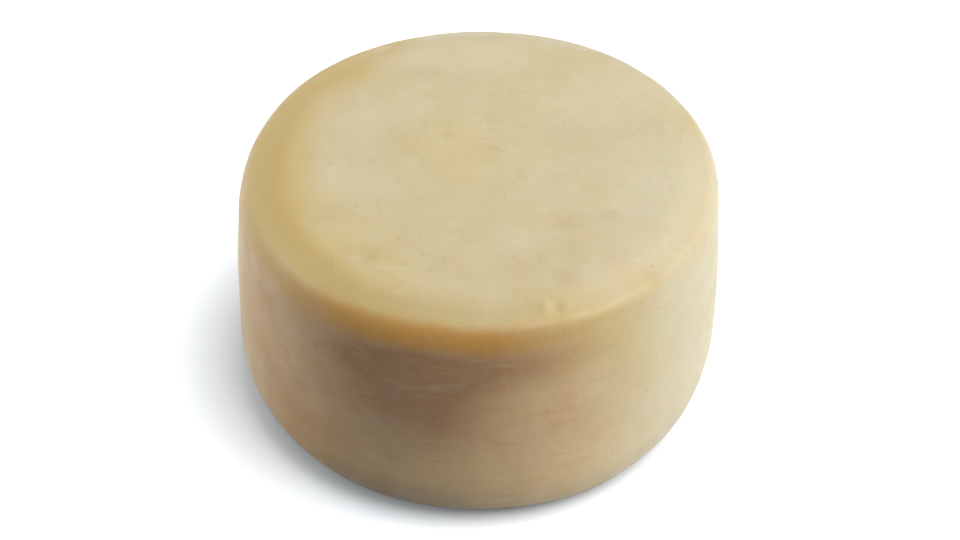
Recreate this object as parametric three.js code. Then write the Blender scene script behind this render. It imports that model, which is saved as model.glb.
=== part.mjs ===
// A small drum-shaped wheel of pressed cheese with a smooth natural rind.
//
// Units are millimetres and +Z is up. The origin is under the middle of the wheel, on the surface that it
// rests on, and -Y is the front.
//
// The curd is pressed in a round mould and turned by hand while it ripens, so the wheel is one solid piece
// and not quite a true drum. It spreads towards its base, its side bows out, its top stands a little proud
// in the middle, and its outline is out of round by less than a millimetre. The press plate leaves a sloping
// shoulder around the top, which turns down into the side, softly at most places and in a crisp lip at the
// front right.

import * as THREE from 'three';

// --- Driving dimensions ------------------------------------------------------------------------------

const HEIGHT = 93.8; // at the middle of the top
const TOP_RADIUS = 80; // where the side would meet the top, if the edge were sharp
const BASE_RADIUS = 85.4; // the same at the base, where the young curd has settled outwards
const BELLY = 1.4; // how far the side bows out at mid-height
const CROWN = 1.2; // how far the middle of the top stands above its edge

const BASE_EDGE_ACROSS = 13.9; // the base edge is rounded over this far in from the side
const BASE_EDGE_UP = 23.6; // and this far up it

const TOP_EDGE_ACROSS = 16.6; // the top edge, shoulder and all, takes up this much of the radius
const SHOULDER_TILT = 28; // degrees by which the shoulder slopes down and outwards
const SHOULDER_TURN = 17.6; // radius of the turn from the top on to the shoulder
const CORNER_ACROSS = 6.8; // the turn from the shoulder into the side is part of an oval, this far across
const CORNER_DOWN_RATIO = 1.65; // and this many times as far down
const TOP_EDGE_CHANGE = 0.24; // the share by which all of that is larger on one side than on the other
const TOP_EDGE_SOFTEST = 109; // degrees from +X towards +Y, where it is largest

const LIP_ACROSS = 1.6; // the same as CORNER_ACROSS, but where the lip is crispest
const LIP_FACING = -58; // degrees from +X towards +Y, where that is
const LIP_REACH = 28; // degrees to each side over which the lip fades out

const TOP_SLOPE = 0.35; // degrees by which the top leans
const TOP_HIGHEST = -14; // degrees from +X towards +Y, where the top is highest

// Where the outline is out of round: the number of lobes, how far each stands out, and the direction in
// degrees from +X that the first one faces.
const BASE_LOBES = [
  { count: 2, height: 0.43, facing: 66 },
  { count: 3, height: 0.68, facing: 39 },
  { count: 4, height: 0.66, facing: 42 },
];
const TOP_LOBES = [
  { count: 2, height: 0.38, facing: 41 },
  { count: 3, height: 0.29, facing: 1 },
  { count: 4, height: 0.35, facing: 41 },
];

const SLICES = 72; // upright slices around the wheel
const BASE_EDGE_STEPS = 7; // facets around the base edge
const SIDE_STEPS = 6; // facets up the side between the two edges
const CORNER_STEPS = 6; // facets around the turn from the side on to the shoulder
const SHOULDER_STEPS = 3; // facets around the turn from the shoulder on to the top
const CROWN_STEPS = 4; // facets across the top, from there to the middle

const RIND = { color: 0xdcc99a, roughness: 0.5, metalness: 0 };

// --- The shape of the wheel --------------------------------------------------------------------------

const { degToRad, euclideanModulo, lerp } = THREE.MathUtils;
const QUARTER_TURN = Math.PI / 2;
const HALF_TURN = Math.PI;
const FULL_TURN = Math.PI * 2;
const EDGE_HEIGHT = HEIGHT - CROWN;

// How far the outline stands out at an angle around the wheel.
function outOfRound(lobes, angle) {
  return lobes.reduce(
    (sum, lobe) => sum + lobe.height * Math.cos(lobe.count * (angle - degToRad(lobe.facing))),
    0,
  );
}

// The radius of the side at a height, before its edges are rounded.
function sideRadius(height, angle) {
  const share = height / EDGE_HEIGHT;
  const taper = lerp(BASE_RADIUS, TOP_RADIUS, share);
  const bow = BELLY * 4 * share * (1 - share);
  const lobes = lerp(outOfRound(BASE_LOBES, angle), outOfRound(TOP_LOBES, angle), share);
  return taper + bow + lobes;
}

// How much of the lip there is at an angle, from 0 to 1.
function lipStrength(angle) {
  const away = euclideanModulo(angle - degToRad(LIP_FACING) + HALF_TURN, FULL_TURN) - HALF_TURN;
  return Math.exp(-((away / degToRad(LIP_REACH)) ** 2));
}

// The top edge at an angle as points, from the side to the top. Each point's inset is how far in from the
// side it lies, and its depth is how far below the top.
function topEdge(angle) {
  const softness = 1 + TOP_EDGE_CHANGE * Math.cos(angle - degToRad(TOP_EDGE_SOFTEST));
  const across = TOP_EDGE_ACROSS * softness;
  const shoulderTurn = SHOULDER_TURN * softness;
  const cornerAcross = lerp(CORNER_ACROSS * softness, LIP_ACROSS, lipStrength(angle));
  const cornerDown = cornerAcross * CORNER_DOWN_RATIO;
  const tilt = degToRad(SHOULDER_TILT);
  const cornerStart = Math.atan(Math.tan(tilt) / CORNER_DOWN_RATIO);

  const turnAcross = shoulderTurn * Math.sin(tilt);
  const turnDown = shoulderTurn * (1 - Math.cos(tilt));
  const slopeAcross = across - turnAcross - cornerAcross * (1 - Math.sin(cornerStart));
  const slopeDown = slopeAcross * Math.tan(tilt);

  const points = [];
  for (let step = 0; step <= CORNER_STEPS; step += 1) {
    const turn = lerp(QUARTER_TURN, cornerStart, step / CORNER_STEPS);
    const drop = cornerDown * (Math.cos(cornerStart) - Math.cos(turn));
    points.push({ inset: cornerAcross * (1 - Math.sin(turn)), depth: turnDown + slopeDown + drop });
  }
  for (let step = 0; step <= SHOULDER_STEPS; step += 1) {
    const turn = lerp(tilt, 0, step / SHOULDER_STEPS);
    const drop = shoulderTurn * (1 - Math.cos(turn));
    points.push({ inset: across - shoulderTurn * Math.sin(turn), depth: drop });
  }
  return points;
}

// How far the leaning top stands above its mean height at a radius and an angle.
function topLift(radius, angle) {
  return Math.tan(degToRad(TOP_SLOPE)) * radius * Math.cos(angle - degToRad(TOP_HIGHEST));
}

// The outline of one upright slice as points of radius and height, from the middle of the base outwards,
// up the side and in to the middle of the top.
function slice(angle) {
  const outline = [new THREE.Vector2(0, 0)];
  const addSidePoint = (height, inset) => {
    outline.push(new THREE.Vector2(sideRadius(height, angle) - inset, height));
  };

  for (let step = 0; step <= BASE_EDGE_STEPS; step += 1) {
    const turn = (step / BASE_EDGE_STEPS) * QUARTER_TURN;
    addSidePoint(BASE_EDGE_UP * (1 - Math.cos(turn)), BASE_EDGE_ACROSS * (1 - Math.sin(turn)));
  }
  const edge = topEdge(angle);
  for (let step = 1; step < SIDE_STEPS; step += 1) {
    addSidePoint(lerp(BASE_EDGE_UP, EDGE_HEIGHT - edge[0].depth, step / SIDE_STEPS), 0);
  }
  edge.forEach(({ inset, depth }) => addSidePoint(EDGE_HEIGHT - depth, inset));

  const rim = outline.at(-1).x;
  for (let step = CROWN_STEPS - 1; step >= 0; step -= 1) {
    const share = step / CROWN_STEPS;
    outline.push(new THREE.Vector2(rim * share, EDGE_HEIGHT + CROWN * (1 - share * share)));
  }

  // The lean of the top fades out downwards, so the base stays flat.
  outline.forEach((point) => {
    point.y += topLift(point.x, angle) * (point.y / HEIGHT);
  });
  return outline;
}

// A lathe makes the rings and faces of a true drum, and each slice of it is then given its own outline.
function wheelGeometry() {
  const firstSlice = slice(0);
  const geometry = new THREE.LatheGeometry(firstSlice, SLICES);
  const position = geometry.getAttribute('position');
  for (let turn = 0; turn <= SLICES; turn += 1) {
    const angle = ((turn % SLICES) / SLICES) * FULL_TURN;
    slice(angle).forEach((point, row) => {
      const vertex = turn * firstSlice.length + row;
      position.setXYZ(vertex, point.x * Math.cos(angle), point.x * Math.sin(angle), point.y);
    });
  }
  geometry.computeBoundingBox();
  const middle = geometry.boundingBox.getCenter(new THREE.Vector3());
  geometry.translate(-middle.x, -middle.y, 0);
  geometry.computeVertexNormals();
  return geometry;
}

// --- The wheel ---------------------------------------------------------------------------------------

const wheel = new THREE.Mesh(wheelGeometry(), new THREE.MeshStandardMaterial(RIND));
wheel.name = 'cheese_wheel';

const cheese = new THREE.Group();
cheese.name = 'cheese';
cheese.add(wheel);

export default cheese;
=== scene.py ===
# %% [markdown]
# # A small wheel of pressed cheese
#
# The real thing is a single piece. Curd is ladled into a round mould, pressed, salted, and turned by hand
# for a few weeks while its outside dries into a thin, smooth rind. There are no parts to put together, so
# this lesson is about one closed mesh and one good material.
#
# A plain solid of the wheel already exists at its real size. We load it first, and the finished wheel has to
# fill its box as well.

# %% Load the plain solid
import math

import bpy
import numpy as np
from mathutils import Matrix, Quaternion, Vector, noise
from mathutils.kdtree import KDTree


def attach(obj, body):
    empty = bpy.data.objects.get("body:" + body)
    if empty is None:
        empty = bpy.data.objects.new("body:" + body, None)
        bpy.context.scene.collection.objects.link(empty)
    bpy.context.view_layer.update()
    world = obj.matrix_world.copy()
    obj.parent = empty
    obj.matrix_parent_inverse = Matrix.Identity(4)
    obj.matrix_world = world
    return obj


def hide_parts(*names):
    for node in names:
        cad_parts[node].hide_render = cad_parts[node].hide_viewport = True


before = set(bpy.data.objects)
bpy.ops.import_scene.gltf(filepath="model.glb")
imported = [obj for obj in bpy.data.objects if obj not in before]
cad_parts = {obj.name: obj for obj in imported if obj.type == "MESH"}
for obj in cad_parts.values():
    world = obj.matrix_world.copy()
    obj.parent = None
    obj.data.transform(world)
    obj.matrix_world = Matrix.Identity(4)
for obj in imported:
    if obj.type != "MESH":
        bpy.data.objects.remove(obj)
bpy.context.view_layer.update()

MM = 0.001
NODE = "cheese_wheel"

# %% [markdown]
# ## The wheel's own dimensions
#
# A cheese wheel could be spun like wood on a lathe, but pressed curd is never that true. It spreads a
# little where it sat wet on the board, its side bows out, its top stands slightly proud in the middle, and
# the hand that turned it every day has left it a little out of round. Each of these gets a number of its
# own, the same ones that the plain solid was made from, so that each can be understood and changed alone.

# %% Dimensions
HEIGHT = 93.8 * MM
TOP_RADIUS = 80 * MM
BASE_RADIUS = 85.4 * MM
BELLY = 1.4 * MM
CROWN = 1.2 * MM
BASE_EDGE_ACROSS = 13.9 * MM
BASE_EDGE_UP = 23.6 * MM
TOP_SLOPE = math.radians(0.35)
TOP_HIGHEST = math.radians(-14)
EDGE_HEIGHT = HEIGHT - CROWN

# The number of lobes, how far each stands out, and the direction in degrees that the first one faces.
BASE_LOBES = [(2, 0.43 * MM, 66), (3, 0.68 * MM, 39), (4, 0.66 * MM, 42)]
TOP_LOBES = [(2, 0.38 * MM, 41), (3, 0.29 * MM, 1), (4, 0.35 * MM, 41)]
print("across before the edges are rounded, mm:", round(2 * BASE_RADIUS / MM, 1))

# %% [markdown]
# ## The side, seen from above and from the front
#
# There are many ways to block out a drum: a cylinder with bevelled edges, a subdivided box, or a spun
# outline. Here the side is a formula that gives the radius for any height and any direction, with +X at
# 0 degrees and the front, -Y, at -90 degrees. A formula can be uneven in every direction at once, which a
# spun outline can't.

# %% The radius of the side
FRONT = math.radians(-90)


def out_of_round(lobes, angle):
    """How far the lobes stand out, or in, in a direction."""
    return sum(
        reach * np.cos(count * (angle - math.radians(first))) for count, reach, first in lobes
    )


def side_radius(height, angle):
    """The radius before the edges are rounded: the taper, the bowed belly and the lobes together."""
    share = height / EDGE_HEIGHT
    taper = BASE_RADIUS + (TOP_RADIUS - BASE_RADIUS) * share
    bow = BELLY * 4 * share * (1 - share)
    lobes = out_of_round(BASE_LOBES, angle) * (1 - share) + out_of_round(TOP_LOBES, angle) * share
    return taper + bow + lobes


front_radii = [side_radius(share * EDGE_HEIGHT, FRONT) / MM for share in (0, 0.5, 1)]
print("radius in front, at the bottom, half way and the top, mm:", np.round(front_radii, 1))

# %% [markdown]
# ## The top edge
#
# The edge of the top isn't a plain rounding. The press plate leaves a shoulder that slopes gently outwards,
# and the wall meets it in a second, tighter turn. At the front right that turn is a crisp lip, because the
# cloth bunched there in the mould, and elsewhere it is worn round. So the edge is drawn in three strokes:
# a wide turn on to the shoulder, the shoulder itself, and part of an oval that turns down to the wall. The
# oval's size depends on the direction, and the shoulder takes up what it leaves.

# %% Dimensions of the top edge
TOP_EDGE_ACROSS = 16.6 * MM
SHOULDER_TILT = math.radians(28)
SHOULDER_TURN = 17.6 * MM
CORNER_ACROSS = 6.8 * MM
CORNER_DOWN_RATIO = 1.65
TOP_EDGE_CHANGE = 0.24
TOP_EDGE_SOFTEST = math.radians(109)
LIP_ACROSS = 1.6 * MM
LIP_FACING = math.radians(-58)
LIP_REACH = math.radians(28)


def bump(distance, width):
    """A soft hill: 1 at distance 0, about a third at width, and next to nothing at twice the width."""
    return np.exp(-((distance / width) ** 2))


def lip_strength(angle):
    """How much of a crisp lip the turn is in a direction, from 0 to 1."""
    turned = (angle - LIP_FACING + math.pi) % (2 * math.pi) - math.pi
    return bump(turned, LIP_REACH)


print("lip, at its middle and straight in front:", np.round(lip_strength(np.array([LIP_FACING, FRONT])), 2))

# %% [markdown]
# ## Rings of points
#
# Now the outline becomes a grid: one column for each direction around the wheel and one row for each
# ring, from the middle of the base to the middle of the top. The rows are shared out by how much happens
# there. The base is flat and hidden, so it gets few. The side and the top get one for about each
# millimetre, which is fine enough for pimples and pits, and the turns of the top edge get them a little
# closer still.

# %% The grid's directions and rows
SLICES = 576
BASE_ROWS = 8
BASE_EDGE_ROWS = 24
SIDE_ROWS = 58
CORNER_ROWS = 16
SHOULDER_ROWS = 3
SHOULDER_TURN_ROWS = 12
CROWN_ROWS = 62

angle = np.arange(SLICES)[:, None] * (2 * math.pi / SLICES)


def steps(count, first=True, last=True):
    """Evenly spaced shares from 0 to 1 as one row, with or without its ends."""
    return np.linspace(0, 1, count + 1)[None, (0 if first else 1):(None if last else -1)]


print("step around the base, mm:", round(2 * math.pi * BASE_RADIUS / SLICES / MM, 2))

# %% How wide each stroke of the top edge is, in every direction
softness = 1 + TOP_EDGE_CHANGE * np.cos(angle - TOP_EDGE_SOFTEST)
across = TOP_EDGE_ACROSS * softness
shoulder_turn = SHOULDER_TURN * softness
corner_across = CORNER_ACROSS * softness * (1 - lip_strength(angle)) + LIP_ACROSS * lip_strength(angle)
corner_down = corner_across * CORNER_DOWN_RATIO
corner_start = math.atan(math.tan(SHOULDER_TILT) / CORNER_DOWN_RATIO)

turn_across = shoulder_turn * math.sin(SHOULDER_TILT)
turn_down = shoulder_turn * (1 - math.cos(SHOULDER_TILT))
slope_across = across - turn_across - corner_across * (1 - math.sin(corner_start))
slope_down = slope_across * math.tan(SHOULDER_TILT)
print("straight shoulder, mm:", np.round([slope_across.min() / MM, slope_across.max() / MM], 1))

# %% The points of the three strokes
# Insets are measured in from the wall and depths down from the top. The points run from the wall inwards.
turn = math.pi / 2 + (corner_start - math.pi / 2) * steps(CORNER_ROWS, last=False)
corner_inset = corner_across * (1 - np.sin(turn))
corner_depth = turn_down + slope_down + corner_down * (math.cos(corner_start) - np.cos(turn))
left = 1 - steps(SHOULDER_ROWS, last=False)
slope_inset = across - turn_across - slope_across * left
slope_depth = turn_down + slope_down * left
turn = SHOULDER_TILT * (1 - steps(SHOULDER_TURN_ROWS))
inner_inset = across - shoulder_turn * np.sin(turn)
inner_depth = shoulder_turn * (1 - np.cos(turn))

top_inset = np.hstack([corner_inset, slope_inset, inner_inset])
top_depth = np.hstack([corner_depth, slope_depth, inner_depth])
print("depth of the top edge, mm:", np.round([top_depth[:, 0].min() / MM, top_depth.max() / MM], 1))

# %% The rings of the base edge, the side and the crown
base_turn = steps(BASE_EDGE_ROWS) * math.pi / 2
base_edge_height = BASE_EDGE_UP * (1 - np.cos(base_turn)) + 0 * angle
base_edge_inset = BASE_EDGE_ACROSS * (1 - np.sin(base_turn))
base_edge_radius = side_radius(base_edge_height, angle) - base_edge_inset

top_edge_height = EDGE_HEIGHT - top_depth
top_edge_radius = side_radius(top_edge_height, angle) - top_inset

wall_top = top_edge_height[:, :1]
side_height = BASE_EDGE_UP + (wall_top - BASE_EDGE_UP) * steps(SIDE_ROWS, first=False, last=False)

crown_share = 1 - steps(CROWN_ROWS, first=False, last=False)
crown_height = EDGE_HEIGHT + CROWN * (1 - crown_share**2) + 0 * angle

base_radius = base_edge_radius[:, :1] * steps(BASE_ROWS, first=False, last=False)
side_wall = side_radius(side_height, angle)
crown_radius = top_edge_radius[:, -1:] * crown_share
print("wall between its two turns, mm:", np.round((wall_top.mean() - BASE_EDGE_UP) / MM, 1))

# %% All rings, from the middle of the base to the middle of the top
radius = np.hstack([base_radius, base_edge_radius, side_wall, top_edge_radius, crown_radius])
height = np.hstack([0 * base_radius, base_edge_height, side_height, top_edge_height, crown_height])
lean = math.tan(TOP_SLOPE) * radius * np.cos(angle - TOP_HIGHEST)
height = height + lean * height / HEIGHT
ROWS = radius.shape[1]
print("rings:", ROWS, "directions:", SLICES)

# %% [markdown]
# ## Thinning the rings towards the middle
#
# A grid like this crowds its points where the directions meet, and needle-thin faces shade badly. So
# towards the middle of the top and of the base a ring keeps only every second point, then every fourth,
# and so on, which keeps the faces nearly square. Where a ring meets one with half as many points, three
# triangles join each pair of steps.

# %% Points
SPACING = 0.55 * MM
FEWEST = 9

ring_radius = radius.mean(axis=0)
most = np.maximum(FEWEST, 2 * math.pi * ring_radius / SPACING)
every = 2 ** np.clip(np.floor(np.log2(SLICES / most)), 0, None).astype(int)

whole = np.stack([radius * np.cos(angle), radius * np.sin(angle), height], axis=-1)
low, high = whole.reshape(-1, 3).min(axis=0), whole.reshape(-1, 3).max(axis=0)
to_middle = np.array([-(low[0] + high[0]) / 2, -(low[1] + high[1]) / 2, 0])

kept = np.arange(SLICES)[:, None] % every[None, :] == 0
number = np.cumsum(kept.ravel()).reshape(kept.shape)
points = np.vstack([to_middle, (whole + to_middle)[kept], to_middle + [0, 0, HEIGHT]])
TOP_POINT = len(points) - 1
print("points in the innermost ring:", SLICES // every[-1], "of all:", len(points))


# %% The faces between two rings
def at(direction, row):
    """The number of the point in a direction on a row."""
    return number[direction % SLICES, row]


def faces_between(row, start):
    """The faces between a ring and the next one, over one step of the ring with fewer points."""
    step = max(every[row], every[row + 1])
    end = start + step
    if every[row] == every[row + 1]:
        return [(at(start, row), at(end, row), at(end, row + 1), at(start, row + 1))]
    fine, coarse = (row, row + 1) if every[row] < every[row + 1] else (row + 1, row)
    first, half, last = (at(place, fine) for place in (start, start + step // 2, end))
    near, far = at(start, coarse), at(end, coarse)
    made = [(first, half, near), (half, far, near), (half, last, far)]
    return made if fine < coarse else [face[::-1] for face in made]


print("faces over one step of the base edge:", len(faces_between(BASE_ROWS, 0)))

# %% All faces, closed at the middle of the base and of the top
faces = []
for row in range(ROWS - 1):
    for start in range(0, SLICES, max(every[row], every[row + 1])):
        faces += faces_between(row, start)
for start in range(0, SLICES, every[0]):
    faces.append((0, at(start + every[0], 0), at(start, 0)))
for start in range(0, SLICES, every[-1]):
    faces.append((at(start, ROWS - 1), at(start + every[-1], ROWS - 1), TOP_POINT))

mesh = bpy.data.meshes.new("cheese_rind")
mesh.from_pydata(points.tolist(), [], faces)
mesh.shade_smooth()
wheel = bpy.data.objects.new("cheese_rind", mesh)
bpy.context.collection.objects.link(wheel)
print("faces:", len(faces), "as triangles:", sum(len(face) - 2 for face in faces))

# %% [markdown]
# ## A camera
#
# The wheel is looked down on from a little over 40 degrees, from 72 centimetres away with a slightly long
# lens, the way a small thing is usually pictured for a shop. The camera could be turned by hand, but here it
# is placed from its distance and its height in degrees, and turned to a point close to the wheel's middle.

# %% Place the camera
CAMERA_AWAY = 720 * MM
CAMERA_ELEVATION = math.radians(43.17)
CAMERA_ROLL = math.radians(0.2)
CAMERA_LENS = 77.25
AIM = Vector((0.6 * MM, 0, -7.6 * MM))

wheel_middle = Vector(to_middle) + Vector((0, 0, HEIGHT / 2))
backwards = Vector((0, -math.cos(CAMERA_ELEVATION), math.sin(CAMERA_ELEVATION)))
camera = bpy.data.objects.new("camera", bpy.data.cameras.new("camera"))
camera.data.lens = CAMERA_LENS
camera.data.clip_start = 10 * MM
camera.location = wheel_middle + backwards * CAMERA_AWAY
looking = wheel_middle + AIM - camera.location
camera.rotation_mode = "QUATERNION"
camera.rotation_quaternion = looking.to_track_quat("-Z", "Y") @ Quaternion((0, 0, 1), CAMERA_ROLL)
bpy.context.collection.objects.link(camera)
bpy.context.scene.camera = camera
print("camera at, mm:", [round(c / MM) for c in camera.location])

# %% [markdown]
# ## A flat map of the rind
#
# Colours and bumps may later be stored as one flat picture, so every spot of the rind needs a place of its
# own in it. A box projection would cut the rind where everyone sees it. Instead the wheel is peeled: the
# middle of the top lies in the middle of the picture, the side spreads out around it, and the only seam is
# the line where the base meets the board. The hidden base gets a small disc in one corner.

# %% How far each ring is from the middle of the top, along the rind
outline_radius = np.hstack([radius, 0 * angle])
outline_height = np.hstack([height, 0 * angle + HEIGHT])
pieces = np.hypot(np.diff(outline_radius, axis=1), np.diff(outline_height, axis=1))
to_top = np.cumsum(pieces[:, ::-1], axis=1)[:, ::-1]
BASE_RING = base_radius.shape[1]
CORNER_RING = BASE_RING + base_edge_radius.shape[1] + side_wall.shape[1] + CORNER_ROWS // 2
print("middle of the top to the base, mm:", round(to_top[:, BASE_RING].mean() / MM, 1))


def on_points(grid, base_value, top_value):
    """Pick a grid's values for the points that were kept, and add those of the two middle points."""
    return np.concatenate([[base_value], (grid + 0 * radius)[kept], [top_value]])


# %% The flat map
PEEL_RADIUS = 0.485
BASE_DISC_RADIUS = 0.08
BASE_DISC_MIDDLE = 0.91

peeled = PEEL_RADIUS * to_top / to_top[:, [BASE_RING]]
disc = BASE_DISC_RADIUS * radius / radius[:, [BASE_RING]]
compass = np.stack([on_points(np.cos(angle), 0, 0), on_points(np.sin(angle), 0, 0)], axis=1)
peel_place = 0.5 + on_points(peeled, 0, 0)[:, None] * compass
disc_place = BASE_DISC_MIDDLE + on_points(disc, 0, 0)[:, None] * compass

corners = np.array([point for face in faces for point in face])
sides = np.array([len(face) for face in faces])
face_top = np.maximum.reduceat(points[corners, 2], np.cumsum(sides) - sides)
in_base = np.repeat(face_top == 0, sides)
flat_place = np.where(in_base[:, None], disc_place[corners], peel_place[corners])
flat_map = mesh.uv_layers.new(name="OFBake")
flat_map.data.foreach_set("uv", flat_place.astype(np.float32).ravel())
print("corners in the map:", len(corners), "of them in the base:", int(in_base.sum()))

# %% [markdown]
# ## Relief: tools
#
# Up close the rind rolls gently, and carries a few pimples, pits and scratches from the mould, the shelf
# and the hand. A sculpt could add them, but it can't be read or changed afterwards. Here every mark is a
# soft hill added to one list of heights, one height for each point, and only the sum is pushed out along
# the surface. These helpers find a spot on the rind and measure how near each point is to it.

# %% Find spots on the rind
tree = KDTree(len(points))
for index, point in enumerate(points):
    tree.insert(point, index)
tree.balance()


def on_top(x, y):
    """The spot of the top nearest to x, y, in millimetres from the middle."""
    return np.array(tree.find((x * MM, y * MM, HEIGHT))[0])


def on_wall(facing, up):
    """The spot of the wall in a direction, in degrees from the front to the right, so many mm up."""
    around = math.radians(facing - 90)
    beside = (BASE_RADIUS * math.cos(around), BASE_RADIUS * math.sin(around), up * MM)
    return np.array(tree.find(beside)[0])


print("a spot on the front of the wall, mm:", np.round(on_wall(0, 50) / MM, 1))


# %% Measure nearness
def near(spot, width):
    """How near each point is to a spot, as a soft hill of about width millimetres."""
    return bump(np.linalg.norm(points - spot, axis=1), width * MM)


def along(start, end, width):
    """How near each point is to the straight line between two spots."""
    reach = end - start
    share = np.clip((points - start) @ reach / (reach @ reach), 0, 1)
    return bump(np.linalg.norm(points - start - share[:, None] * reach, axis=1), width * MM)


def spots(find, *placed):
    """One mask from soft spots, each given as the two numbers that find it, its width and its strength."""
    return sum(strength * near(find(first, second), width) for first, second, width, strength in placed)


print("points within 5 mm of the middle of the top:", int((near(on_top(0, 0), 5) > bump(1, 1)).sum()))

# %% [markdown]
# ## Relief: slow rolls
#
# Between its edges the rind isn't flat: it rolls by a few tenths of a millimetre, as anything does that was
# soft when it was pressed in a cloth. Noise gives such a surface with the least work. It comes in three
# sizes, the smaller the shallower, so that none of them stands out as a pattern.


# %% Slow rolls
def waves(size, place):
    """Noise from about -1 to 1, with hills about size mm across. Another place gives another noise."""
    return np.array([noise.noise(Vector(point) / (size * MM) + Vector(place)) for point in points])


relief = np.zeros(len(points))
for size, depth in ((38, 0.40), (13, 0.11), (4.5, 0.035)):
    relief += depth * MM * waves(size, (3.1, 7.4, 1.9))
print("slow rolls, mm:", np.round([relief.min() / MM, relief.max() / MM], 2))

# %% [markdown]
# ## Relief: a scatter of pimples and pits
#
# Small bubbles and grains of curd leave pimples and pits all over a pressed rind. Placed by hand they would
# soon look arranged, so a draw scatters them evenly. The draw has a seed, so that they fall in the same
# places every time. They are kept few and faint, because the rind is nearly smooth.

# %% Pimples and pits
SEED = 11
PIMPLES = 60
PITS = 70
PIMPLE_HEIGHT = 0.11 * MM
PIT_DEPTH = 0.14 * MM
MARKED_TOP_RADIUS = 76
MARKED_WALL_FROM = 12
MARKED_WALL_BAND = 72
MARK_STRENGTHS = (0.3, 1)
MARK_WIDTHS = (0.9, 1.7)

draw = np.random.default_rng(SEED)


def scatter(count):
    """Faint marks of uneven width and strength as one mask, half of them on the top, half on the wall."""
    marks = np.zeros(len(points))
    for _ in range(count // 2):
        out = MARKED_TOP_RADIUS * math.sqrt(draw.random())
        around = 2 * math.pi * draw.random()
        top_spot = on_top(out * math.cos(around), out * math.sin(around))
        wall_spot = on_wall(360 * draw.random(), MARKED_WALL_FROM + MARKED_WALL_BAND * draw.random())
        for spot in (top_spot, wall_spot):
            marks += draw.uniform(*MARK_STRENGTHS) * near(spot, draw.uniform(*MARK_WIDTHS))
    return marks


pimples = scatter(PIMPLES)
pits = scatter(PITS)
relief += PIMPLE_HEIGHT * pimples - PIT_DEPTH * pits
print("with pimples and pits, mm:", np.round([relief.min() / MM, relief.max() / MM], 2))

# %% [markdown]
# ## Relief: the marks of this very wheel
#
# A few marks are big enough to tell one wheel from another: a pimple with a pit beside it close to the lip,
# smaller ones on the left and in front, a nick in the rim at the front right, long faint scratches, and a
# crease in the wall where the cloth folded. These are placed one by one. Each gets its width here, and then
# its height, so that it can be made stronger without moving it.

# %% Marks placed one by one, in millimetres
SCRATCH_WIDTH = 0.9
CREASE_WIDTH = 1.2

big_pimples = spots(on_top, (21, -72, 1.7, 1), (-39, -50, 1.5, 0.6), (-18, -55, 1.4, 0.5))
big_pits = spots(on_top, (25.5, -71, 1.6, 1), (-34, -51, 1.5, 0.5), (11, -66, 1.5, 0.4))
nick = near(on_top(56, -56), 3.2)
scratches = (
    along(on_top(-33, -54), on_top(-18, -56), SCRATCH_WIDTH)
    + along(on_top(21, -40), on_top(38, -36), SCRATCH_WIDTH)
    + along(on_top(38, -36), on_top(54, -32), SCRATCH_WIDTH)
    + 0.7 * along(on_top(30, -29), on_top(52, -25), SCRATCH_WIDTH)
)
crease = (
    along(on_wall(-18, 63), on_wall(-10, 66), CREASE_WIDTH)
    + along(on_wall(-10, 66), on_wall(-3, 68), CREASE_WIDTH)
)

# %% How far each mark stands out, or in, in millimetres
for name, mark, stands_out in (
    ("big pimples", big_pimples, 0.55),
    ("big pits", big_pits, -0.5),
    ("nick", nick, -0.45),
    ("scratches", scratches, -0.07),
    ("crease", crease, 0.08),
):
    relief += stands_out * MM * mark
    print(name, "on points:", int((mark > 0.1).sum()))

# %% [markdown]
# ## Relief: the ridge on the lip
#
# Where the edge turns down in a crisp lip, it is also raised into a fine ridge. A row of hand-placed hills
# would look like beads. Instead the ridge follows the corner by two numbers that every point gets here: the
# way it faces, in degrees from the front to the right, and how far below the corner it lies, in millimetres
# along the rind. On the top the second number is negative. The colours are placed by the same two numbers.

# %% Ridge on the lip
BASE_MIDDLE_BELOW = 150
TOP_MIDDLE_BELOW = -80
RIDGE_FACING = 28
RIDGE_REACH = 24
RIDGE_ABOVE_CORNER = 1.5
RIDGE_WIDTH = 1.5
RIDGE_HEIGHT = 0.22 * MM

bearing = np.degrees(np.arctan2(points[:, 0], -points[:, 1]))
from_corner = (to_top - to_top[:, [CORNER_RING]]) / MM
below_corner = on_points(from_corner, BASE_MIDDLE_BELOW, TOP_MIDDLE_BELOW)

ridge = bump(bearing - RIDGE_FACING, RIDGE_REACH) * bump(below_corner + RIDGE_ABOVE_CORNER, RIDGE_WIDTH)
ridge *= 0.7 + 0.6 * waves(9, (5.2, 0.4, 8.8))
relief += RIDGE_HEIGHT * ridge
print("highest part of the ridge, mm:", np.round((RIDGE_HEIGHT * ridge).max() / MM, 2))

# %% [markdown]
# ## Push the relief out
#
# Now every point moves along its own normal by the sum of all marks. A modifier could do it too, but the
# heights are already here, one for each point. Points close to the board stay put, so the wheel still
# stands flat.


# %% Push the points out
def smooth(low, high, values):
    """Rise softly from 0 at low to 1 at high."""
    share = np.clip((values - low) / (high - low), 0, 1)
    return share * share * (3 - 2 * share)


outwards = np.empty(3 * len(points))
mesh.vertices.foreach_get("normal", outwards)
pushed = relief * smooth(1 * MM, 7 * MM, points[:, 2])
points = points + outwards.reshape(-1, 3) * pushed[:, None]
mesh.vertices.foreach_set("co", points.ravel())
mesh.update()
print("pushed by, mm:", np.round([pushed.min() / MM, pushed.max() / MM], 2))
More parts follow.
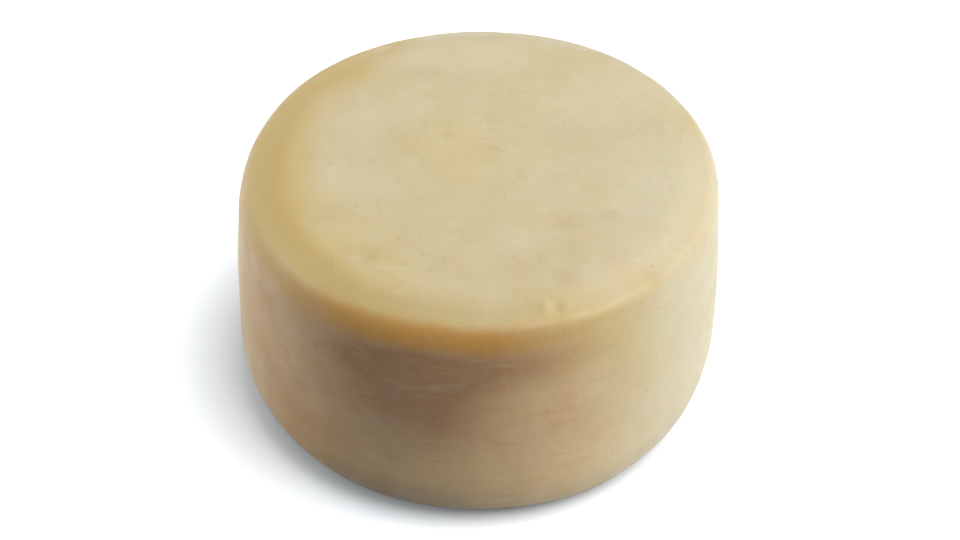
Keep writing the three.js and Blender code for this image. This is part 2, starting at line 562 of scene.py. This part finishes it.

# %% [markdown]
# ## Masks for the colour
#
# The rind isn't one colour: it is tinted by how it lay, dried and was handled, and some of its masks also
# carry painted light and shade. The tints could be painted by hand, but then they wouldn't follow when a
# dimension changes. So each tint gets a mask, a value from 0 to 1 on every point, worked out from where the
# point lies. The material only has to lay one tint over another.
# Noise shifts the bands by a few millimetres, because nothing on a rind ends in a straight line.


# %% Tools for masks
def around_wheel(*stops):
    """A value for each point, between stops that each give a bearing in degrees and a value."""
    bearings, values = zip(*stops)
    return np.interp(bearing, bearings, values, period=360)


def paint(name, values):
    """Keep a mask on the mesh, under a name by which the material can ask for it."""
    held = np.clip(values, 0, 1)
    layer = mesh.attributes.new(name, "FLOAT", "POINT")
    layer.data.foreach_set("value", held.astype(np.float32))
    print(name, "mask, mean:", round(float(held.mean()), 3))


ragged = 4.0 * waves(16, (0.3, 5.5, 2.2)) + 1.8 * waves(5, (7.7, 1.5, 0.6))
ragged_below = below_corner + ragged
print("bands are shifted by up to, mm:", round(float(np.abs(ragged).max()), 1))

# %% [markdown]
# ## Yellow shoulder, and amber corner with a painted glow
#
# Butterfat and brine collect where the wheel rests and rubs each time it is turned. So its corner is amber,
# and the shoulder above is yellowed, furthest in on the left. The amber is partly a painted glow: it stands
# for light that sinks in at the corner and comes out warm where the wheel is shaded, so it is strongest in
# front and just left of it.
# Both are bands along the corner, each with a soft start and a soft end. Stops around the wheel say how
# strong a band is there, and for the yellow also how many millimetres it reaches in over the top.

# %% Yellow shoulder
yellow_reach = around_wheel(
    (-140, 34), (-80, 36), (-35, 24), (-20, 20), (20, 17), (90, 15), (180, 14)
)
yellow_strength = around_wheel(
    (-150, 0.95), (-80, 0.87), (-35, 0.85), (-20, 0.72), (20, 0.4),
    (40, 0.15), (75, 0.05), (110, 0.1), (150, 0.2), (180, 0.5),
)
yellow_band = smooth(0, 20, ragged_below + yellow_reach) * (1 - smooth(3, 11, ragged_below))
paint("yellowed", yellow_band * yellow_strength)

# %% Amber corner, partly a painted glow
# Painted glow: the amber is strongest in front and just left of it, on the shaded side away from the lamps.
amber_and_glow_strength = around_wheel(
    (-180, 0.1), (-120, 0.2), (-75, 0.25), (-55, 0.5), (-32, 0.9),
    (3, 1), (15, 0.45), (30, 0.12), (45, 0.05), (70, 0),
)
amber_and_glow_below = below_corner + 0.4 * ragged
amber_and_glow_band = smooth(-5.5, -0.5, amber_and_glow_below) * (1 - smooth(4, 11, amber_and_glow_below))
paint("amber_and_painted_glow", amber_and_glow_band * amber_and_glow_strength)

# %% [markdown]
# ## The wall: tan with painted shade, a painted sheen and a painted contact shade
#
# The wall dried against cloth, which left it a browner tan than the top. The tan is also painted shade, so it
# is strongest in front, away from the lamps. On the right the wall stays cream, and it is made paler still by
# a painted sheen from the lamps on that side. The foot is darkened by a painted contact shade where the wheel
# stands on the board. The tints of the wall fill all of it, so their masks only need a soft start at the
# corner.

# %% Tan wall with painted shade, painted sheen on the right and painted contact shade at the foot
# The tan is partly painted shade: it is strongest in front, on the side away from the lamps.
tan_and_shade_strength = around_wheel(
    (-180, 0.5), (-100, 0.45), (-75, 0.6), (-45, 0.95), (5, 1),
    (22, 0.8), (38, 0.35), (60, 0.05), (110, 0.15),
)
# Painted sheen: the right of the wall, where the lamps stand, is made paler and greyer.
sheen_strength = around_wheel((20, 0), (45, 0.6), (60, 0.75), (75, 0.4), (110, 0.3), (140, 0))
# Painted contact shade: darker towards the bottom, where the wheel stands on the board.
contact_shade_strength = around_wheel((-90, 1), (10, 1), (60, 0.5), (120, 0.4), (180, 0.7))
up = points[:, 2] / MM

paint("wall", smooth(2, 9, ragged_below))
paint("tanned_and_painted_shade", smooth(-1, 7, ragged_below) * tan_and_shade_strength)
paint("painted_sheen", smooth(-6, 12, ragged_below) * sheen_strength)
paint("painted_contact_shade", (1 - smooth(2, 9, up + 0.4 * ragged)) * contact_shade_strength)

# %% [markdown]
# ## Painted light on the left rim and the low front
#
# The rind is painted paler in two places, as painted light: along the rim on the left, where the lamps leave
# the corner dim, and low on the front of the wall, as light thrown back up from the board. One mask holds
# both, because they get the same tint.

# %% Painted light on the left rim and low on the front
# Painted light: paler on the rim on the left, where the lamps leave the corner dim, and low on the front, as
# light thrown back up from the board.
rim_strength = around_wheel((-110, 0), (-80, 1), (-50, 0.9), (-32, 0.1), (-20, 0))
low_strength = around_wheel(
    (-45, 0), (-15, 0.7), (10, 1), (30, 0.9), (60, 0.6), (80, 0.3), (110, 0)
)
painted_rim_light = rim_strength * bump(below_corner - 1, 9)
painted_bounce_light = low_strength * (1 - smooth(24, 58, up + ragged))
paint("painted_light", 0.65 * painted_rim_light + painted_bounce_light)

# %% [markdown]
# ## Patches
#
# On top of that come soft patches that sit where they happen to sit: paler where the rind is drier, yellow or
# pinkish where it is oilier, and brown where it has been bruised. Noise could make them, but then none could
# be moved. Here each is one short entry: its spot, its width and its strength. On the top the spot is x and y
# in millimetres, and on the wall it is the bearing in degrees and the height. The pale and brown tints also
# carry painted highlights on the lip's ridge and the pimple tops, and painted shade in the pits and the nick.
# The umber on the front of the wall and under the rim is partly painted shade.

# %% Pale and brown patches, with the marks that show in the same tint: painted highlights on the ridge and pimples, painted shade in the pits and the nick
pale = spots(
    on_top,
    (-45, 20, 17, 0.5), (-44, -10, 13, 0.5), (-4, 42, 15, 0.2), (64, -14, 19, 1), (60, -36, 14, 0.7),
    (50, 36, 16, 0.9), (36, -57, 9, 0.5), (50, -48, 13, 0.5), (-33, -41, 4, 0.5), (0, -51, 6, 0.4),
    (48, -24, 7, 0.7), (15, -43, 6, 0.7), (-39, -50, 2, 0.8),
)
# The spot at 57, -56 sits in the nick, as painted shade in the dent.
brown = spots(
    on_top,
    (42, 8, 14, 0.35), (-35, -47, 5, 0.5), (-47, -51, 6, 0.5), (30, -47, 5, 0.5), (29, -59, 4, 0.9),
    (57, -56, 3, 0.9), (54, -34, 5, 0.6), (43, -31, 5, 0.5), (14, -50, 8, 0.35), (29, -35, 5, 0.5),
    (-48, -29, 6, 0.5),
)
# On the ridge and the pimple tops the pale is a painted highlight, and in the pits the brown is painted
# shade.
paint("pale", pale + 0.5 * scratches + 0.3 * crease + 0.65 * ridge + 0.4 * pimples)
paint("brown", brown + 0.7 * pits + big_pits)

# %% Yellow and pink patches
yellow = spots(
    on_top,
    (-5, 3, 19, 0.6), (-50, -24, 9, 0.7), (-38, -42, 14, 0.8), (-28, -58, 8, 0.7), (35, 45, 16, 0.25),
    (-46, -48, 8, 0.7), (55, -57, 5, 0.9),
)
yellow += spots(on_wall, (22, 86, 12, 0.7), (33, 76, 13, 0.8), (40, 58, 14, 0.5))
pink = spots(on_top, (47, -48, 9, 0.7), (69, -40, 9, 0.2))
pink += spots(on_wall, (9, 36, 10, 0.8), (-22, 40, 12, 0.6))
paint("yellow", yellow)
paint("pink", pink)

# %% Umber and orange patches on the wall, with the umber partly painted shade on the front and painted shade under the rim
# The big umber spot on the front of the wall is partly painted shade, away from the lamps.
umber_and_painted_shade = spots(on_wall, (-14, 58, 22, 1.25), (-34, 62, 13, 0.15), (-41, 24, 15, 0.3))
# Painted shade under the rim, on the front.
painted_shade_under_rim = around_wheel((-65, 0), (-45, 0.2), (-25, 0.8), (0, 0.9), (15, 0.6), (35, 0.1), (50, 0))
umber_and_painted_shade += painted_shade_under_rim * bump(below_corner - 13, 9)
paint("umber_and_painted_shade", umber_and_painted_shade * smooth(3, 10, below_corner))
paint("orange", spots(on_wall, (-46, 24, 17, 1.1), (-60, 54, 19, 0.7)))

# %% [markdown]
# ## Take the plain solid's place
#
# The rind now stands in for the plain solid of the same name. It rides on the same body, so it moves and
# falls exactly as the solid does.

# %% Replace the plain solid
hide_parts(NODE)
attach(wheel, "root")
print(wheel.name, "stands in for", NODE)

# %% [markdown]
# ## The rind's material: tools
#
# One flat colour makes cheese look like plastic. A real rind shows colour in many sizes at once, from hand
# wide clouds down to specks, and light sinks a few millimetres into it and comes out warmer. It could be
# painted as a picture, but nodes stay sharp at any distance. A few helpers keep the script short: above all
# one for noise, one for a painted mask, and one that lays a tint over what is below it.

# %% Start the material
rind = bpy.data.materials.new("rind")
rind.use_nodes = True
nodes = rind.node_tree.nodes
links = rind.node_tree.links
shader = nodes["Principled BSDF"]
place_on_rind = nodes.new("ShaderNodeTexCoord").outputs["Object"]
mesh.materials.append(rind)
print("the rind starts with nodes:", [node.name for node in nodes])


# %% Noise, and values between two limits
def stretch(value, low, high, least=0.0, most=1.0):
    """Turn low..high into least..most, and hold it there beyond."""
    ranged = nodes.new("ShaderNodeMapRange")
    ranged.inputs["From Min"].default_value = low
    ranged.inputs["From Max"].default_value = high
    ranged.inputs["To Min"].default_value = least
    ranged.inputs["To Max"].default_value = most
    links.new(value, ranged.inputs["Value"])
    return ranged.outputs["Result"]


def grain(size, detail=3, place=place_on_rind):
    """Noise with hills about size millimetres across. More detail makes their edges finer."""
    texture = nodes.new("ShaderNodeTexNoise")
    texture.inputs["Scale"].default_value = 1 / (size * MM)
    texture.inputs["Detail"].default_value = detail
    links.new(place, texture.inputs["Vector"])
    return texture.outputs["Fac"]


# %% Masks, and two values as one
def mask(name, most=1.0):
    """A mask that was painted on the mesh, made weaker when most is below 1."""
    painted = nodes.new("ShaderNodeAttribute")
    painted.attribute_name = name
    return stretch(painted.outputs["Fac"], 0, 1, 0, most)


def combine(operation, first, second):
    """Two values made one, by MULTIPLY or by ADD."""
    made = nodes.new("ShaderNodeMath")
    made.operation = operation
    links.new(first, made.inputs[0])
    links.new(second, made.inputs[1])
    return made.outputs[0]


# %% Lay one colour over another
# The Mix node has sockets of the same name for numbers and for colours, so they are picked by number.
MIX_AMOUNT = 0
MIX_BELOW = 6
MIX_ABOVE = 7
MIX_RESULT = 2


def cover(below, above, amount):
    """Lay a colour over what is below. Either can be a plain colour, or what another node gives."""
    mix = nodes.new("ShaderNodeMix")
    mix.data_type = "RGBA"
    links.new(amount, mix.inputs[MIX_AMOUNT])
    for socket, color in ((MIX_BELOW, below), (MIX_ABOVE, above)):
        if isinstance(color, tuple):
            mix.inputs[socket].default_value = (*color, 1)
        else:
            links.new(color, mix.inputs[socket])
    return mix.outputs[MIX_RESULT]


# %% [markdown]
# ## The rind's colour: clouds in the cream
#
# The order of the layers follows how the rind came about, and the cream curd is first. It was never one
# cream: wetter and drier curd went into the mould together. So four soft clouds lie over it, wide ones first,
# two of them paler and two darker. Each has a tint, the size of its hills in millimetres, its detail, the
# noise values between which it comes in, and how strong it gets.

# %% Clouds in the cream
color = (0.60, 0.503, 0.295)
for tint, size, detail, starts, full, most in (
    ((0.63, 0.555, 0.37), 34, 3, 0.42, 0.68, 0.5),
    ((0.585, 0.475, 0.235), 21, 3, 0.50, 0.72, 0.5),
    ((0.64, 0.58, 0.40), 7.5, 3, 0.54, 0.74, 0.35),
    ((0.54, 0.42, 0.215), 9.5, 5, 0.55, 0.75, 0.32),
):
    color = cover(color, tint, stretch(grain(size, detail), starts, full, 0, most))
print("nodes after the clouds:", len(nodes))

# %% [markdown]
# ## The rind's colour: shoulder, wall and corner
#
# Next come the broad tints, from the masks: the yellowed shoulder, the tan wall, which also carries painted
# shade, and over both the amber corner, which also carries a painted glow. The wall is clouded from two tans,
# and the amber is broken up by a fine noise, which keeps them from lying as evenly as paint.

# %% Shoulder, wall with painted shade, and corner with a painted glow
color = cover(color, (0.56, 0.40, 0.135), mask("yellowed"))
tan = cover((0.655, 0.425, 0.225), (0.70, 0.50, 0.27), stretch(grain(17), 0.40, 0.66, 0, 0.8))
color = cover(color, tan, mask("tanned_and_painted_shade"))
broken_amber_and_glow = combine("MULTIPLY", mask("amber_and_painted_glow"), stretch(grain(6, 4), 0.2, 0.55, 0.62, 0.9))
color = cover(color, (0.57, 0.285, 0.058), broken_amber_and_glow)
print("nodes after the corner:", len(nodes))

# %% [markdown]
# ## The rind's colour: patches, painted light and painted shade
#
# All the other masks hold one flat tint each, laid thinly enough that the layers below still show. The number
# says how much of the tint is laid on where the mask is full. Several of them are painted light or shade: the
# umber is partly painted shade, the warm light tint on the left rim and the low front is painted light, the
# greyish pale on the right is a painted sheen, the dark at the foot is a painted contact shade, and the pale
# and the brown carry painted highlights and painted shade on the marks.

# %% Patches, painted light and painted shade
for name, tint, most in (
    ("umber_and_painted_shade", (0.34, 0.18, 0.08), 0.85),
    ("painted_light", (0.73, 0.565, 0.31), 0.65),
    ("painted_sheen", (0.62, 0.585, 0.425), 0.85),
    ("orange", (0.64, 0.35, 0.13), 0.6),
    ("yellow", (0.61, 0.47, 0.155), 0.45),
    ("pink", (0.64, 0.44, 0.33), 0.35),
    ("brown", (0.44, 0.30, 0.13), 0.4),
    ("pale", (0.68, 0.63, 0.47), 0.42),
    ("painted_contact_shade", (0.22, 0.145, 0.075), 0.7),
):
    color = cover(color, tint, mask(name, most))
print("nodes after the patches:", len(nodes))

# %% [markdown]
# ## The rind's colour: streaks and specks
#
# The cloth was wound around the wall, and its folds left faint level streaks there. They are the same noise
# as elsewhere, but the height that it is read from is stretched, which flattens it. Dark streaks lie where
# the wall is tan, and pale ones all over it. The finest layer is a scatter of specks, dark ones in loose
# groups and pale ones everywhere.


# %% Level streaks on the wall
def streaks(size, flattened):
    """Noise in level streaks of about size millimetres, so many times longer than they are high."""
    lying = nodes.new("ShaderNodeMapping")
    lying.inputs["Scale"].default_value = (1, 1, flattened)
    links.new(place_on_rind, lying.inputs["Vector"])
    return grain(size, place=lying.outputs["Vector"])


dark_streaks = combine("MULTIPLY", mask("tanned_and_painted_shade"), stretch(streaks(17, 9), 0.52, 0.75, 0, 0.28))
pale_streaks = combine("MULTIPLY", mask("wall"), stretch(streaks(11, 8), 0.54, 0.80, 0, 0.22))
color = cover(color, (0.42, 0.27, 0.13), dark_streaks)
color = cover(color, (0.70, 0.57, 0.36), pale_streaks)
print("nodes after the streaks:", len(nodes))

# %% Specks
grouped = stretch(grain(12), 0.45, 0.6)
dark_specks = combine("MULTIPLY", stretch(grain(1.3, 2), 0.60, 0.74, 0, 0.45), grouped)
color = cover(color, (0.46, 0.32, 0.15), dark_specks)
color = cover(color, (0.70, 0.65, 0.49), stretch(grain(0.9, 2), 0.62, 0.76, 0, 0.15))
links.new(color, shader.inputs["Base Color"])
print("nodes for the whole colour:", len(nodes))

# %% [markdown]
# ## Sheen and depth
#
# The rind has the dull shine of dry butterfat. It is never even, so its roughness drifts in clouds about a
# centimetre wide, with a finer grain on top. The light that sinks in travels furthest when it is red, which
# is what warms the shade: here about 7 mm in red, 3 mm in green and 1 mm in blue.

# %% Sheen and depth
roughness = stretch(grain(11, 4), 0.35, 0.65, 0.40, 0.56)
fine_roughness = stretch(grain(1.1, 3), 0.35, 0.65, -0.05, 0.05)
links.new(combine("ADD", roughness, fine_roughness), shader.inputs["Roughness"])
shader.inputs["Specular IOR Level"].default_value = 0.28
shader.inputs["Subsurface Weight"].default_value = 0.35
shader.inputs["Subsurface Radius"].default_value = (1.0, 0.45, 0.15)
shader.inputs["Subsurface Scale"].default_value = 7 * MM
print("nodes with the sheen:", len(nodes))

# %% [markdown]
# ## Fine bumps
#
# Bumps as small as the spacing of the points can't be pushed out of the mesh, so the shader fakes them by
# tilting the normal. There are three sizes, all very low: dimples about half a centimetre wide, which are
# so shallow that they need no shape of their own, a grain of a millimetre and a half, and pores of half a
# millimetre.


# %% Fine bumps
def bumps(heights, depth, under=None):
    """A normal that is tilted by a height in millimetres, over another bumped normal if there is one."""
    bumped = nodes.new("ShaderNodeBump")
    bumped.inputs["Strength"].default_value = 0.5
    bumped.inputs["Distance"].default_value = depth * MM
    links.new(heights, bumped.inputs["Height"])
    if under:
        links.new(under, bumped.inputs["Normal"])
    return bumped.outputs["Normal"]


dimples = stretch(grain(5.5, 2), 0.3, 0.7)
fine_grain = stretch(grain(1.6, 4), 0.3, 0.7, 0, 0.6)
pores = stretch(grain(0.55, 2), 0.42, 0.60, 0, 0.4)
dimpled = bumps(dimples, 0.16)
links.new(bumps(combine("ADD", fine_grain, pores), 0.07, dimpled), shader.inputs["Normal"])
print("nodes in the rind:", len(nodes))

# %% [markdown]
# ## The board
#
# The wheel stands on plain white board. A real white board throws a lot of light back up, and a small
# object on it then loses its shade. A grey board would keep the shade, but look dirty. So the board stays
# white, and is only left out of what the rind gathers light from. It still shows in its sheen.

# %% Board
bpy.ops.mesh.primitive_plane_add(size=8)
floor = bpy.context.object
floor.name = "floor"
floor.visible_diffuse = False
board = bpy.data.materials.new("white_board")
board.use_nodes = True
board_shader = board.node_tree.nodes["Principled BSDF"]
board_shader.inputs["Base Color"].default_value = (0.85, 0.85, 0.86, 1)
board_shader.inputs["Roughness"].default_value = 0.9
floor.data.materials.append(board)
print("board, m:", [round(side, 2) for side in floor.dimensions])

# %% [markdown]
# ## Lamps on the wheel
#
# The light is soft and comes mostly from the right, partly low and partly from high up, as from a tall
# window. That lets the front left fall into a warm shade, which draws the shape. A broad panel on the left
# opens up the far wall, and a weaker one lights the back. Each lamp is a disc that faces the wheel, placed
# by its direction around the wheel and by how high it stands over the floor, both in degrees. The low one is
# kept out of the sheen, because at a glancing angle it would burn out the far side of the top.

# %% A lamp that faces the wheel
LAMP_AWAY = 1.3
LIT_POINT = Vector((0, 0, 0.05))


def add_lamp(kind, name, facing, elevation, power, color=(1, 1, 1)):
    """A lamp turned to the wheel. Facing is in degrees around it: 0 is in front and 90 on the right."""
    around, up = math.radians(facing), math.radians(elevation)
    away = Vector((math.sin(around) * math.cos(up), -math.cos(around) * math.cos(up), math.sin(up)))
    lamp = bpy.data.objects.new(name, bpy.data.lights.new(name, kind))
    lamp.data.energy = power
    lamp.data.color = color
    lamp.location = LIT_POINT + away * LAMP_AWAY
    lamp.rotation_mode = "QUATERNION"
    lamp.rotation_quaternion = (-away).to_track_quat("-Z", "Y")
    bpy.context.collection.objects.link(lamp)
    print(name, "lamp at", [round(c, 2) for c in lamp.location])
    return lamp


# %% Discs that light the wheel only
for_wheel = bpy.data.collections.new("for_wheel")
for_wheel.objects.link(wheel)
for name, facing, elevation, size, power in (
    ("window_low", 58, 16, 0.75, 11.1),
    ("window_high", 80, 50, 1.0, 10.9),
    ("left_panel", -92, 30, 1.0, 11.5),
    ("back", 180, 35, 0.8, 3.8),
):
    lamp = add_lamp("AREA", name, facing, elevation, power)
    lamp.data.shape = "DISK"
    lamp.data.size = size
    lamp.visible_glossy = name != "window_low"
    lamp.light_linking.receiver_collection = for_wheel

# %% [markdown]
# ## Lamps on the board
#
# The board gets two lamps of its own, so that it stays white right to its far edge and the wheel still
# casts a soft shade to the left. They are suns, whose light doesn't fall off with distance. Each is spread
# over a wide piece of sky, which makes its shade soft. The sky itself is white, but it only shows in
# reflections and behind the board, and lights nothing.

# %% Suns that light the board only
for_board = bpy.data.collections.new("for_board")
for_board.objects.link(floor)
for name, facing, elevation, spread, power, tone in (
    ("board_key", 86, 62, 56, 4.1, (1, 1, 1)),
    ("board_fill", -5, 70, 140, 2.8, (0.90, 0.97, 1)),
):
    sun = add_lamp("SUN", name, facing, elevation, power, tone)
    sun.data.angle = math.radians(spread)
    sun.light_linking.receiver_collection = for_board

# %% White sky
world = bpy.data.worlds.new("studio")
bpy.context.scene.world = world
world.use_nodes = True
world.node_tree.nodes["Background"].inputs["Color"].default_value = (1, 1, 1, 1)
world.cycles_visibility.diffuse = False
bpy.context.scene.view_settings.view_transform = "Standard"
